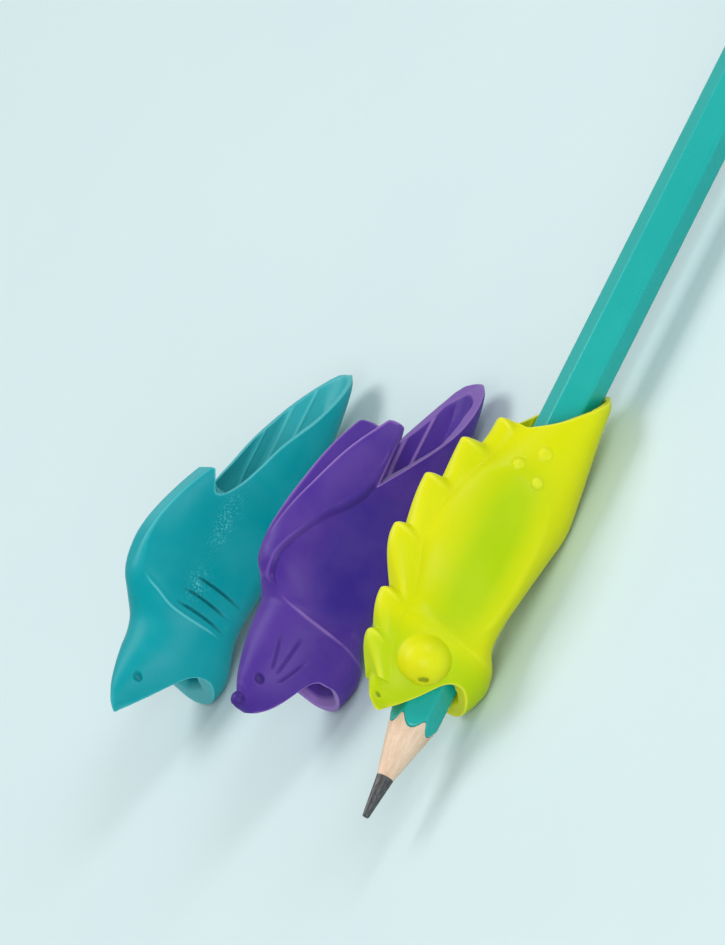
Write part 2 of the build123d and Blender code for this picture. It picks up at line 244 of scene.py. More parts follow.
def dimple(x, angle, radius, place, turn, size):
    """One at a point on both flanks, falling as a half ball to nothing at its edge."""
    gap = np.hypot(x - place, radius * (flank_turn(angle) - math.radians(turn))) / size
    return np.sqrt(np.maximum(1.0 - gap * gap, 0.0)) * ease(0.0, DIMPLE_EDGE, 1.0 - gap)


def groove(across, along, start, end, width, taper):
    """A bell across a line, which fades in and out over its two tapers."""
    fade_in = ease(start, start + taper[0], along)
    fade_out = 1 - ease(end - taper[1], end, along)
    return fade_in * fade_out * bell(across, width)


def patch(x, z, place, height, long, tall, power=2):
    """One in its middle: e to minus a power of the share along it and minus the square across it."""
    return np.exp(-(((x - place) / long) ** power) - ((z - height) / tall) ** 2)


# Shark. A section is place, crown, belly depth, half width and, where it isn't round, fullness above
SHARK = [
    (0, 5.9, 1.5, 0.5), (0.8, 6.7, 2.4, 1.4), (2.8, 7.8, 4, 2.9),
    (6.5, 8.7, 6, 5.2), (9.5, 9, 7.5, 6.7), (12, 9.2, 7.8, 7.4, 0.53),
    (14.3, 10.1, 6.9, 7.9, 0.48), (16.5, 12, 5.8, 8.2, 0.44), (20, 15.1, 5.5, 7.9, 0.36),
    (24, 16.1, 6, 7.5, 0.33), (29, 15.3, 6.7, 7.1, 0.33), (34, 13.6, 7.6, 6.8, 0.33),
    (39, 11.3, 7.75, 6.7, 0.38), (46, 7.6, 6.3, 6.9, 0.46), (52, 6.2, 5.4, 7),
    (57.5, 5.4, 4.8, 6), (60.5, 5, 4.4, 4.7), (61.6, 4.6, 4.1, 3.8),
    (62.3, 4.4, 3.9, 2.7), (66, 4.4, 3.8, 2.6),
]
FIN_TOP = [
    (10, 13), (15, 13.4), (18, 14), (20.5, 14.5), (24.5, 14.85), (27.6, 14.5), (31.8, 13.35),
    (36, 11.7), (38.5, 10.5), (42, 9),
]
FIN_ROUNDING = 1.3
FIN_SHARPENING = 1.05
FIN_SHARPENS = (18.0, 28.0)
STRIP_CUT = (0.1, 0.6)
STRIP_STARTS = (21.0, 30.0)
# The fin's flat top strip is painted paler: a painted highlight.
STRIP_HIGHLIGHT = 0.55
SHARK_LINE = [
    (-6, 15.6), (0, 15.8), (3.6, 16), (5.6, 16.2), (8.4, 16.9), (10, 17.8), (11.9, 18.8), (15, 21),
]
SHARK_STEP = dict(depth=0.26, run=0.8, length=13.0, bead=(0.12, 0.34), foot=(-2.0, 5.0), head=(10.5, 13.5))
SHARK_HOLLOW = dict(middle=(28.0, 4.6), half_size=(11.5, 6.5), depth=0.9, blend=0.3)
SHARK_EYE_SHADE = 0.6
# A gill slit is its place, the height of its middle and half its height
GILLS = [(17.4, 3.2, 5.0), (19.75, 3.4, 5.0), (22.2, 2.4, 5.2)]
GILL_LEAN = 0.16
GILL_BOW = 0.017
GILL_FACING = 0.3
GILL_DEPTH = 0.5
GILL_SHADE = 0.9


def shark_skin(x, angle):
    """Body cut level along the fin, less the finger hollows, gill slits and eye dimples."""
    plain = body_radius(SHARK, x, angle)
    rounding = FIN_ROUNDING - FIN_SHARPENING * ease(*FIN_SHARPENS, x)
    radius = flat_top(plain, angle, through(FIN_TOP, x), rounding)
    strip = ease(*STRIP_CUT, plain - radius) * ease(*STRIP_STARTS, x)
    z = radius * np.sin(angle)
    # The dent also marks the finger hollow for painted shade.
    dent_and_shade = finger_hollow(x, z, **SHARK_HOLLOW)
    radius = radius - dent_and_shade - shoulder(x, z, SHARK_LINE, **SHARK_STEP)
    slit = np.zeros_like(x)
    for middle, height, half in GILLS:
        rise = z - height
        curve = middle + GILL_LEAN * rise - GILL_BOW * rise * rise
        low, high = height - half, height + half
        cut = groove(x - curve, z, low, high, width=0.2, taper=(4.5, 2.2))
        slit = np.maximum(slit, cut * (np.abs(np.cos(angle)) > GILL_FACING))
    eye = dimple(x, angle, radius, place=5.6, turn=64.5, size=0.72)
    radius = radius - GILL_DEPTH * slit - EYE_DEPTH * eye
    # The pit mark is painted shade in the gill slits and eye dimples.
    pit_shade = np.maximum(GILL_SHADE * slit, SHARK_EYE_SHADE * eye)
    return level_belly(radius, angle), pit_shade, dent_and_shade / SHARK_HOLLOW["depth"], STRIP_HIGHLIGHT * strip


# Mouse, with sections as for the shark. An ear's lower edge is heights against places
MOUSE = [
    (0, 6.6, 1.6, 1), (0.8, 7.4, 2.4, 1.9), (2.2, 8.3, 3.8, 3.3),
    (4.1, 9.1, 5.2, 4.7), (7.1, 9.9, 6.8, 6.1), (10, 10.4, 7.7, 7),
    (12.3, 10.6, 7.75, 7.6), (14.3, 10.7, 6.4, 8.1), (16.4, 10.9, 5.4, 8.3, 0.54),
    (18.5, 12.4, 5.1, 8.1, 0.52), (21, 14.3, 5.2, 7.8, 0.5), (24.5, 15, 5.7, 7.4, 0.52),
    (29.5, 14.6, 6.7, 7.1, 0.54), (34.5, 13.7, 7.6, 6.9, 0.56), (39.5, 12.6, 7.75, 6.9, 0.58),
    (46, 10.5, 7, 7.3, 0.58), (52, 7.4, 6.1, 7.7), (55, 6.5, 5.7, 7.35),
    (57.4, 6, 5.35, 6.6), (59.2, 5.6, 5, 5.5), (60.3, 5.3, 4.6, 4.3),
    (60.9, 5, 4.3, 3.2), (66, 5, 4.1, 3.1),
]
EAR_EDGE = [
    (17, 10.2), (18.4, 11.9), (20, 13), (22.1, 13.5), (24.1, 13.2), (27.1, 12), (30, 10.5),
    (33.3, 8.2), (35.5, 7), (37.1, 6.5), (47.4, 5.6),
]
EAR_STARTS = (17.0, 19.0)
EAR_FACING = 0.25
EAR_STEP = (-0.15, 0.45)
EAR_RISE = 0.3
CREASE_WIDTH = 0.25
CREASE_DEPTH = 0.2
CREASE_SHADE = 0.6
EDGING_UP = 1.1
EDGING_WIDTH = 0.6
EDGING_RISE = 0.08
EDGING_HIGHLIGHT = 0.4
EDGING_FADES = (24.0, 32.0)
PARTING_FLOOR = [(22, 15.8), (24.5, 15.35), (29.5, 14.2), (34.5, 12.3), (41, 9.7), (47, 6.5), (52, 4)]
PARTING_SLOPE = [(22, 0.8), (34.5, 0.7), (41, 0.62), (48, 0.48), (52, 0.45)]
PARTING_ROUNDING = 0.0004
PARTING_LEAST = 0.05
MOUSE_LINE = [
    (-8, 13.2), (-3.5, 13.6), (1, 14.3), (4.3, 14.8), (7.1, 15.4), (9.8, 16.5), (11.8, 17.9), (15, 20.5),
]
MOUSE_STEP = dict(depth=0.24, run=1.8, length=12.0, bead=(0.13, 0.5), foot=(-8.0, -4.0), head=(11.0, 14.0))
MOUSE_HOLLOW = dict(middle=(26.5, 3.6), half_size=(11.0, 6.8), depth=1.2, blend=0.9)
NOSE_SHADE = 0.62
NOSE_SHADED = (0.0, 0.12)
# A whisker groove is its two ends, the height of the first and its slope
WHISKERS = [(6.3, 12.2, 6.9, 0.28), (6.0, 12.9, 6.1, -0.03), (4.9, 10.0, 5.3, -0.37)]
WHISKER_FACING = 0.25
WHISKER_DEPTH = 0.28
WHISKER_SHADE = 0.6


def ear_parting(x, angle):
    """Where each ray meets the notch between the ears: two slopes leaning out from a falling floor."""
    floor = through(PARTING_FLOOR, x)
    lean = through(PARTING_SLOPE, x)
    rise = np.sin(angle) - lean * np.sqrt(np.cos(angle) ** 2 + PARTING_ROUNDING)
    met = (rise > PARTING_LEAST) & (x > PARTING_FLOOR[0][0])
    return np.where(met, floor / np.maximum(rise, PARTING_LEAST), BEYOND)


def mouse_skin(x, angle):
    """Body with two raised ears parted on the back, less hollows, whisker grooves and eyes.

    An ear rises in a step over its lower edge, with a crease along the step and a bead above it.
    """
    radius = body_radius(MOUSE, x, angle)
    z = radius * np.sin(angle)
    above = (z - through(EAR_EDGE, x)) / np.hypot(np.cos(angle), EAR_FACING)
    start = ease(*EAR_STARTS, x)
    ear = ease(*EAR_STEP, above) * start
    crease = bell(above, CREASE_WIDTH) * start * (z > 0)
    edging = bell(above - EDGING_UP, EDGING_WIDTH) * start * (z > 0)
    # The dent also marks the finger hollow for painted shade.
    dent_and_shade = finger_hollow(x, z, **MOUSE_HOLLOW)
    step = shoulder(x, z, MOUSE_LINE, **MOUSE_STEP)
    radius = radius - (dent_and_shade + step) * (1 - ear) + EAR_RISE * ear
    radius = radius + EDGING_RISE * edging - CREASE_DEPTH * crease
    radius = soft_min(radius, ear_parting(x, angle), blend=0.5)
    slit = np.zeros_like(x)
    for begin, end, height, rise in WHISKERS:
        line = (z - height - rise * (x - begin)) / math.hypot(1.0, rise)
        cut = groove(line, x, begin, end, width=0.15, taper=(1.0, 2.0))
        slit = np.maximum(slit, cut * (np.abs(np.cos(angle)) > WHISKER_FACING))
    eye = dimple(x, angle, radius, place=4.7, turn=69.0, size=0.8)
    radius = radius - EYE_DEPTH * eye - WHISKER_DEPTH * slit
    nose = ball_reach(x, angle, place=1.2, side=0.0, height=7.4, radius=1.3)[1]
    nose_shade = NOSE_SHADE * ease(*NOSE_SHADED, nose - radius)
    # The pit mark is painted shade in the eye dimples, whisker grooves and ear crease, and on the nose
    # ball.
    pit_shade = np.maximum.reduce([eye, WHISKER_SHADE * slit, CREASE_SHADE * crease, nose_shade])
    # A painted highlight along the bead above each ear's crease.
    painted_highlight = EDGING_HIGHLIGHT * edging * (1 - ease(*EDGING_FADES, x))
    radius = level_belly(soft_max(radius, nose, blend=0.1), angle)
    return radius, pit_shade, dent_and_shade / MOUSE_HOLLOW["depth"], painted_highlight


# Chameleon, with sections as for the shark. A leaf is start, height there, tip and height there
CHAMELEON = [
    (0, 6.5, 1.5, 0.7), (0.8, 7.7, 2.4, 1.9), (2.4, 8.8, 4, 3.3),
    (5.5, 9.8, 6, 5.2), (8, 10.4, 7.2, 6.1), (10.2, 10.8, 7.75, 6.7),
    (12.6, 11.2, 7.1, 7.2, 0.53), (15, 11.4, 5.5, 7.5, 0.5), (19.5, 12.5, 4.9, 8, 0.5),
    (25, 14, 5.6, 8.3, 0.5), (30.5, 13.7, 6.7, 8.1, 0.5), (36, 12, 7.72, 7.6, 0.5),
    (42, 9.5, 7.1, 7, 0.5), (48, 7.2, 6, 6.9), (53, 6, 5.1, 7),
    (55.5, 5.6, 4.9, 6.4), (57, 5.3, 4.5, 5), (58, 5, 4.1, 3.2),
    (66, 5, 4, 3),
]
LEAVES = [
    (4.4, 9.6, 10.1, 13.1), (9.2, 11.4, 16.4, 14.2), (16, 11.8, 25.5, 16.9),
    (24.4, 14.6, 34.2, 16.1), (33, 13, 41.6, 13.5), (40.4, 10.2, 47, 9.6),
]
LEAF_FULL = 0.86
LEAF_TIP = 0.9
CREST_BAND = [
    (3.6, 8), (5, 9.7), (9.6, 11.4), (16.2, 11.7), (20, 13.2), (25.1, 14.8), (33.7, 13.1),
    (41.2, 10), (46.6, 6.9), (50, 4),
]
CREST_ROOT = 1.6
CREST_HALF = 2.5
SWEEP = 0.3
SWEEP_ENDS = 2.6
CREST_LEAST = 0.2
CREST_FACING = 0.4
CHAMELEON_LINE = [(-7, 12.2), (-1, 12.6), (2.8, 13.0), (8, 13.9), (11.8, 15.0), (15, 16.2)]
CHAMELEON_STEP = dict(depth=0.4, run=2.6, length=12.0, bead=(0.07, 0.8), foot=(-7.0, -2.0))
CHAMELEON_HOLLOW = dict(middle=(27.0, 5.2), half_size=(12.5, 6.6), depth=1.5, blend=0.3)
FLANK_SHADE = 0.75
HEAD_TINT = 0.5
HEAD_TINT_ENDS = (9.0, 15.0)
EYE_CLEAR = (0.0, 1.0)
PUPIL = dict(place=5.6, side=6.4, height=4.7, radius=0.85)
PUPIL_SLACK = 0.1
PUPIL_SHADED = (1.0, 1.6)
NOSTRIL_DEPTH = 0.3
# A flank bump is its place, its angle above the flank and its size
BUMPS = [(40.7, 48.6, 1.15), (39.3, 22.3, 1.2), (43.7, 28.7, 1.35)]
BUMP_HEIGHT = 0.4


def crest_height(x):
    """Outline of the crest: each leaf rises in a quarter wave and rounds off behind its tip."""
    base = through(CREST_BAND, x)
    top = base
    for start, foot, tip, high in LEAVES:
        t = np.clip((x - start) / (LEAF_FULL * (tip - start)), 0.0, 1.0)
        leaf = foot + (high - foot) * np.sin(t * math.pi * 0.5)
        past = np.clip((x - tip + LEAF_TIP) / LEAF_TIP, 0.0, 1.0)
        leaf = base + (leaf - base) * np.sqrt(np.maximum(1.0 - past * past, 0.0))
        top = np.where((x >= start) & (x <= tip), np.maximum(top, leaf), top)
    return top


def crest_radius(x, angle, radius):
    """Where each ray leaves the crest, whose section is half an ellipse standing on the back.

    Lower on its side a leaf ends further forward, by a share of the squared distance off centre.
    """
    foot = through([section[:2] for section in CHAMELEON], x) - CREST_ROOT
    across = np.minimum(np.abs(radius * np.cos(angle)), SWEEP_ENDS)
    tall = np.maximum(crest_height(x + SWEEP * across ** 2) - foot, CREST_LEAST)
    c, s = np.cos(angle) / CREST_HALF, np.sin(angle) / tall
    a, b, rest = c * c + s * s, s * foot / tall, (foot / tall) ** 2 - 1.0
    reach = (b + np.sqrt(np.maximum(b * b - a * rest, 0.0))) / a
    met = (np.sin(angle) > CREST_FACING) & (b * b > a * rest) & (x > CREST_BAND[0][0])
    return np.where(met, reach, 0.0)


def chameleon_skin(x, angle):
    """Body with a leafy crest, domed eyes and flank bumps, less hollows, pupils and nostrils."""
    radius = body_radius(CHAMELEON, x, angle)
    z = radius * np.sin(angle)
    # Painted shade over the finger hollow, as a tint towards the hollow colour.
    shade_tint = FLANK_SHADE * patch(x, z, place=26.5, height=4.8, long=14.0, tall=5.0, power=4)
    radius = radius - finger_hollow(x, z, **CHAMELEON_HOLLOW)
    radius = radius - shoulder(x, z, CHAMELEON_LINE, **CHAMELEON_STEP)
    radius = soft_max(radius, crest_radius(x, angle, radius), blend=0.9)
    entry, dome = ball_reach(x, angle, place=8.7, side=4.7, height=5.0, radius=3.6)
    # The tint also darkens the head, apart from the eye dome.
    head = (1 - ease(*HEAD_TINT_ENDS, x)) * ease(*EYE_CLEAR, radius - dome)
    shade_tint = np.maximum(shade_tint, HEAD_TINT * head)
    radius = soft_max(radius, dome, blend=1.6)
    for place, turn, size in BUMPS:
        radius = radius + BUMP_HEIGHT * dimple(x, angle, radius, place, turn, size) ** 2
    near, far = ball_reach(x, angle, **PUPIL)
    deep = np.clip((radius - near) / PUPIL["radius"], 0.0, 1.0)
    pupil = np.where((near < radius) & (radius < far + PUPIL_SLACK), deep, 0.0)
    nostril = dimple(x, angle, radius, place=1.6, turn=82.0, size=0.38)
    radius = radius - PUPIL["radius"] * pupil - NOSTRIL_DEPTH * nostril
    # Painted shade in the pupils and nostrils.
    shade = pupil * ease(*PUPIL_SHADED, 0.5 * (dome - entry))
    return level_belly(radius, angle), np.maximum(shade, nostril), shade_tint, np.zeros_like(x)


class Grip(NamedTuple):
    """What sets one grip apart from the others. A curve is a list of pairs for through()."""

    node: str  # CAD node that the moulding replaces
    # The skin's marks are painted shade in pits, painted shade in finger hollows and painted highlight.
    skin: Callable  # outer radius, and pit, hollow and pale marks, from places and rays
    rows: tuple  # points along the head, shoulder, flank and tail
    mouth: list  # curve of the mouth's place against height
    rim: list  # curve of the slanted rim's height against place
    scoop: list  # start, end and full size of the hollow's side, upper and lower corners
    notch: tuple  # place and height of the corner under the overhang
    tail: tuple  # place and height of the overhang's lower end
    ends: list  # curve of the place where the overhang ends against height
    bend: float  # rounding between the rim and the overhang
    wall: float  # wall of the scoop
    tip: tuple  # place where the wall thickens towards the tip, and by how much
    flare: float  # how much the lower mouth widens
    # Painted highlight on the tail edge, the rim, the mouth and the scoop.
    painted_highlight: tuple  # paleness of the tail edge, the rim, the mouth and the scoop
    part: float = 0.0  # how far the overhang is cut back on its middle line
    crowd: float = 0.0  # how much the head's points crowd about the eye
    pebbles: tuple = ()  # place, height, half length and half height of each pebbled patch


GRIPS = {
    "shark": Grip(
        node="shark_grip", skin=shark_skin, rows=(76, 92, 40, 40),
        mouth=[(-12, 7.0), (-7.0, 8.3), (-2.6, 9.8), (0.6, 8.4), (3.0, 4.5), (6.3, -1.5), (9, -7)],
        rim=[
            (28, 13), (33, 10), (35.2, 8.1), (36.1, 7.3), (37.4, 6.5), (41.4, 4.9), (46.6, 3.2),
            (52, 0.8), (56.4, -1), (60.3, -2.6), (61.5, -3.05), (62.1, -3.4), (62.4, -4),
            (62.6, -5.2), (66, -9),
        ],
        scoop=[(34.5, 43.0, 5.9), (32.5, 37.5, 9.5), (38.0, 50.0, 4.7)],
        notch=(36.2, 9.3), tail=(38.5, 10.0), ends=[(6, 38.6), (15, 38.6)], bend=1.8,
        wall=0.75, tip=(56.0, 0.2), flare=0.4, painted_highlight=(0.85, 0.65, 0.65, 0.42),
        pebbles=((21.5, 5.6, 2.2, 1.5), (32.0, 5.8, 4.0, 1.3)),
    ),
    "mouse": Grip(
        node="mouse_grip", skin=mouse_skin, rows=(104, 62, 42, 40),
        mouth=[
            (-12, 6), (-6.6, 7.2), (-1.6, 8.2), (1.7, 6.3), (3, 2.6), (4.3, 0.7), (5.8, -0.3),
            (7.2, -2.5), (10, -8),
        ],
        rim=[
            (30, 9.9), (37.4, 6.1), (43, 2.8), (49.4, -0.6), (53.8, -2.2), (57.6, -3.2),
            (59.4, -3.55), (60.4, -3.9), (60.9, -4.5), (61.2, -5.6), (66, -10),
        ],
        scoop=[(37.0, 45.0, 6.6), (35.0, 40.0, 8.5), (40.0, 50.0, 5.0)],
        notch=(37.4, 6.2), tail=(46.0, 5.6),
        ends=[(4.6, 44.6), (5.6, 46.2), (6.4, 47.4), (7.4, 47.9), (8.6, 47.7), (10.0, 47.2), (14.0, 46.4)],
        part=0.5, bend=0.5, wall=0.95, tip=(53.0, 0.9), flare=2.0, painted_highlight=(1.0, 0.55, 0.9, 0.0),
    ),
    "chameleon": Grip(
        node="chameleon_grip", skin=chameleon_skin, rows=(86, 56, 60, 46),
        mouth=[(-12, 3.4), (-6.0, 5.4), (-1.6, 7.8), (1.0, 6.9), (3.2, 3.5), (6.4, -1.0), (9, -5)],
        rim=[
            (38, 15.2), (45.6, 7.4), (48.7, 3.7), (52.5, 0.3), (55, -1.9), (56.5, -3.2),
            (57.6, -4.1), (58.3, -5.5), (66, -14),
        ],
        scoop=[(43.5, 50.0, 6.2), (42.0, 47.0, 8.5), (46.0, 53.0, 4.8)],
        notch=(46.4, 6.8), tail=(47.0, 8.2), ends=[(6, 47.0), (15, 47.0)], bend=0.5,
        wall=0.75, tip=(52.0, 0.2), flare=0.3, crowd=3.0, painted_highlight=(0.45, 0.3, 0.3, 0.0),
    ),
}

# Rays and rows of a grip's sheet, and where its edges are looked for
RAYS = 300
RAY_CROWD = 0.5
ROW_STOPS = (15.0, 25.0, 36.0)
RIM_ROWS = (6, 14, 10)
RIM_SHARES = (0.0, 0.33, 0.67, 1.0)
BORE_ROWS = 40
MOUTH_ROWS = 14
SOFT_ROWS = 2
SOFT_PASSES = 3
SEARCH = np.linspace(-1.5, 66.0, 1351)
HEAD_END = 16.0
SCOOP_START = 30.0
NOSE_FRONT = -0.05
LIP_WALL = 0.315
LIP_LEAST = 0.3
NOSE_RISE = (0.6, 0.95)
FLARE_FALL = (-0.3, 0.5)
FLARE_RUN = 3.5
PART_WIDTH = 1.1
ROOF_RISE = 0.3
ROOF_SLACK = 0.05

# Painted highlights: how far they reach from the tail edge, up the mouth and into the scoop
EDGE_HIGHLIGHT_RUN = (0.12, 0.45)
MOUTH_HIGHLIGHT_ENDS = (0.2, 0.7)
SCOOP_HIGHLIGHT_RUN = (30.0, 36.0)
RIB_HIGHLIGHT = 0.95
RIB_HIGHLIGHT_START = 4.0

# Ridge marks: painted highlight where the sheet turns out, painted shade where it turns in
RIDGE_GAIN = 0.5
RIDGE_SPAN = 0.01
RIDGE_PASSES = 2
PIT_FLOOR = 0.04
PIT_SPREAD = 6


def crossing(value, x):
    """Where each column of values first turns negative, between two samples."""
    stop = np.argmax(value < 0, axis=0)
    stop = np.where((value < 0).any(axis=0), stop, len(x) - 1)
    stop = np.maximum(stop, 1)
    column = np.arange(value.shape[1])
    before, after = value[stop - 1, column], value[stop, column]
    share = np.clip(before / np.maximum(before - after, TINY), 0.0, 1.0)
    return x[stop - 1] + share * (x[stop] - x[stop - 1])


def below_rim(grip, x, angle, radius):
    """Positive where a surface of the given radius stands below the slanted rim."""
    return through(grip.rim, x) - radius * np.sin(angle)


def below_rim_or_roof(grip, x, angle, radius):
    """Positive below the rim or within the overhang, which ends at a curve and rests on a slope."""
    z, y = radius * np.sin(angle), radius * np.cos(angle)
    (notch_x, notch_z), (tail_x, tail_z) = grip.notch, grip.tail
    roof = notch_z + (tail_z - notch_z) * (x - notch_x) / (tail_x - notch_x)
    end = through(grip.ends, z) - grip.part * bell(y, PART_WIDTH)
    return soft_max(below_rim(grip, x, angle, radius), np.minimum(z - roof, end - x), grip.bend)


def find_edges(grip, angle):
    """Places on every ray of the lip, the tail and the bore's rear end, each where a value changes sign.

    The lip is where the skin meets the mouth's cut or grows too thin. The others pass the rim.
    """
    x, turn = np.meshgrid(SEARCH, angle, indexing="ij")
    outer = grip.skin(x, turn)[0]
    inner = hollow_way(grip, x, turn, outer)
    ahead, behind = SEARCH < HEAD_END, SEARCH > SCOOP_START
    past_mouth = x - through(grip.mouth, outer * np.sin(turn))
    solid = np.where(x < NOSE_FRONT, -1.0, np.minimum(past_mouth, outer - inner - LIP_WALL))
    lip = crossing(solid[ahead][::-1], SEARCH[ahead][::-1])
    for _ in range(SOFT_PASSES):
        lip = averaged(lip)
    rear_x, rear_turn = x[behind], turn[behind]
    tail = crossing(below_rim_or_roof(grip, rear_x, rear_turn, outer[behind]), SEARCH[behind])
    bore_back = crossing(below_rim(grip, rear_x, rear_turn, inner[behind]), SEARCH[behind])
    return lip, tail, bore_back


def rim_line(nodes):
    """Rows from the first of four nodes to the last, without the first."""
    return np.concatenate([stretch(a, b, n) for a, b, n in zip(nodes, nodes[1:], RIM_ROWS)])[1:]


def rim_rows(grip, angle, tail, bore_back, tail_radius, bore_radius):
    """Places and radii round the tail: straight over the rim, or by the overhang's corners."""
    (notch_x, notch_z), (tail_x, tail_z) = grip.notch, grip.tail
    roofed = (tail_radius * np.sin(angle) > notch_z + ROOF_SLACK) & (tail > notch_x + ROOF_SLACK)
    up = np.maximum(np.sin(angle), ROOF_RISE)
    plain_x = [tail + (bore_back - tail) * t for t in RIM_SHARES]
    plain_r = [tail_radius + (bore_radius - tail_radius) * t for t in RIM_SHARES]
    corner_x = [tail, np.minimum(tail_x, tail), np.full_like(tail, notch_x), bore_back]
    corner_r = [tail_radius, np.minimum(tail_z / up, tail_radius), notch_z / up, bore_radius]
    x = rim_line([np.where(roofed, a, b) for a, b in zip(corner_x, plain_x)])
    return x, rim_line([np.where(roofed, a, b) for a, b in zip(corner_r, plain_r)])


def mouth_rows(grip, angle, bore_front, lip, bore_radius, lip_radius):
    """Places and radii from bore to lip: straight, but on the mouth's cut under the nose."""
    x = stretch(bore_front, lip, MOUTH_ROWS)
    radius = stretch(bore_radius, lip_radius, MOUTH_ROWS)
    cut = np.maximum(through(grip.mouth, radius * np.sin(angle)), lip)
    return x + ease(*NOSE_RISE, np.sin(angle)) * (cut - x), radius


def profile_sheet(grip, angle):
    """The closed profile of a grip at every ray: place, radius, and marks of painted shade in pits and
    hollows and of painted highlight.

    Its rows are the outside, the rim, the way back through the bore and the mouth. The rows
    about the rim and the mouth are then averaged, which rounds their edges.
    """
    lip, tail, bore_back = find_edges(grip, angle)
    stops = [lip, *(np.full_like(lip, stop) for stop in ROW_STOPS), tail]
    crowds = (grip.crowd, 0.0, 0.0, 0.0)
    blocks = [stretch(a, b, n, c) for a, b, n, c in zip(stops, stops[1:], grip.rows, crowds)]
    outside = np.concatenate(blocks + [tail[None]])
    out_radius, pit_shade, dent_and_shade, painted_highlight = grip.skin(outside, np.broadcast_to(angle, outside.shape))

    bore = six_sided(angle, BORE_CORNER, BORE_CORNER, BORE_CORNER)
    flare = grip.flare * ease(*FLARE_FALL, -np.sin(angle))
    bore_front = np.maximum(through(grip.mouth, (bore + flare) * np.sin(angle)), lip + LIP_LEAST)
    inside = stretch(bore_back, bore_front, BORE_ROWS)
    turn = np.broadcast_to(angle, inside.shape)
    in_radius = hollow_way(grip, inside, turn, grip.skin(inside, turn)[0])
    flared = bore + flare * (1 - ease(0.0, FLARE_RUN, inside - bore_front))
    in_radius = np.where(inside < SCOOP_START, flared, in_radius)

    rim_x, rim_r = rim_rows(grip, angle, tail, bore_back, out_radius[-1], in_radius[0])
    mouth_x, mouth_r = mouth_rows(grip, angle, bore_front, lip, bore + flare, out_radius[0])
    place = np.concatenate([outside, rim_x, inside, mouth_x])
    radius = np.concatenate([out_radius, rim_r, in_radius, mouth_r])
    edge, bore_start = len(outside), len(outside) + len(rim_x)
    soften = np.zeros((len(place), 1))
    soften[edge - SOFT_ROWS:bore_start + SOFT_ROWS] = 1.0
    soften[-MOUTH_ROWS - 1:] = 1.0
    soften[:SOFT_ROWS] = 1.0
    for _ in range(SOFT_PASSES):
        for values in (place, radius):
            values += soften * (averaged(values) - values)

    # Painted highlights near the tail edge, over the rim, round the lower mouth and along the scoop's ribs,
    # and painted light over the scoop's walls.
    edge_highlight, rim_highlight, mouth_highlight, scoop_highlight = grip.painted_highlight
    near_tail = 1.0 - ease(*EDGE_HIGHLIGHT_RUN, tail - outside)
    ribs = RIB_HIGHLIGHT * scoop_ribs(turn, in_radius) * (inside > grip.scoop[0][0] + RIB_HIGHLIGHT_START)
    light = np.zeros(place.shape)
    light[:edge] = np.maximum(painted_highlight, edge_highlight * near_tail)
    light[edge:bore_start] = rim_highlight
    light[bore_start:-MOUTH_ROWS] = np.maximum(ribs, scoop_highlight * ease(*SCOOP_HIGHLIGHT_RUN, inside))
    light[-MOUTH_ROWS:] = mouth_highlight * (1.0 - ease(*MOUTH_HIGHLIGHT_ENDS, np.sin(angle)))
    unmarked = np.zeros((len(place) - edge, len(angle)))
    return place, radius, np.concatenate([pit_shade, unmarked]), np.concatenate([dent_and_shade, unmarked]), light


def ridge_marks(points, pit_shade):
    """How sharply a closed grid turns out (1) or in (-1): its bend along both ways, over the face normal.

    Round a pit, found by spreading its floor a few points each way, outward turns don't count.
    """
    ahead, behind = np.roll(points, -1, axis=0), np.roll(points, 1, axis=0)
    left, right = np.roll(points, -1, axis=1), np.roll(points, 1, axis=1)
    normal = np.cross(ahead - behind, right - left)
    normal /= np.maximum(np.linalg.norm(normal, axis=-1, keepdims=True), TINY)
    bend = np.zeros(points.shape[:2])
    for a, b in ((ahead, behind), (left, right)):
        size = np.maximum(0.25 * ((a - b) ** 2).sum(-1), RIDGE_SPAN)
        bend += ((a + b - 2 * points) * normal).sum(-1) / size
    bend = np.clip(-bend * RIDGE_GAIN, -1.0, 1.0)
    for _ in range(RIDGE_PASSES):
        bend = 0.5 * bend + 0.125 * sum(neighbours(bend))
    around = (pit_shade > PIT_FLOOR).astype(float)
    for _ in range(PIT_SPREAD):
        around = np.maximum.reduce([around] + neighbours(around))
    return np.where(bend > 0, bend * (1.0 - around), bend)


def about_axis(start, row_y, x, radius, angle):
    """Points at places, radii and angles about an axis along X."""
    return np.stack([start + x, row_y + radius * np.cos(angle), AXIS_HEIGHT + radius * np.sin(angle)], -1)


def mesh_piece(name, points, faces, **marks):
    """One smooth object at the origin from points in millimetres and four-cornered faces.

    The faces are turned over together if the volume inside them, the sum of corner triple
    products over six, comes out negative. Marks become point attributes.
    """
    a, b, c, d = (points[faces[:, k]] for k in range(4))
    volume = (a * np.cross(b, c)).sum() + (a * np.cross(c, d)).sum()
    mesh = bpy.data.meshes.new(name)
    mesh.from_pydata((points * MM).tolist(), [], (faces if volume >= 0 else faces[:, ::-1]).tolist())
    for mark, values in marks.items():
        layer = mesh.attributes.new(mark, "FLOAT", "POINT")
        layer.data.foreach_set("value", values.astype(np.float32).ravel())
    mesh.polygons.foreach_set("use_smooth", np.ones(len(mesh.polygons), bool))
    mesh.update()
    piece = bpy.data.objects.new(name, mesh)
    bpy.context.scene.collection.objects.link(piece)
    return piece


def closed_sheet(name, points, **marks):
    """A mesh from a grid of points that closes on itself both ways."""
    rows, columns = points.shape[:2]
    index = np.arange(rows * columns).reshape(rows, columns)
    beside, below = np.roll(index, -1, axis=1), np.roll(index, -1, axis=0)
    corner = np.roll(beside, -1, axis=0)
    quads = np.stack([index, below, corner, beside], axis=-1).reshape(-1, 4)
    return mesh_piece(name, points.reshape(-1, 3), quads, **marks)


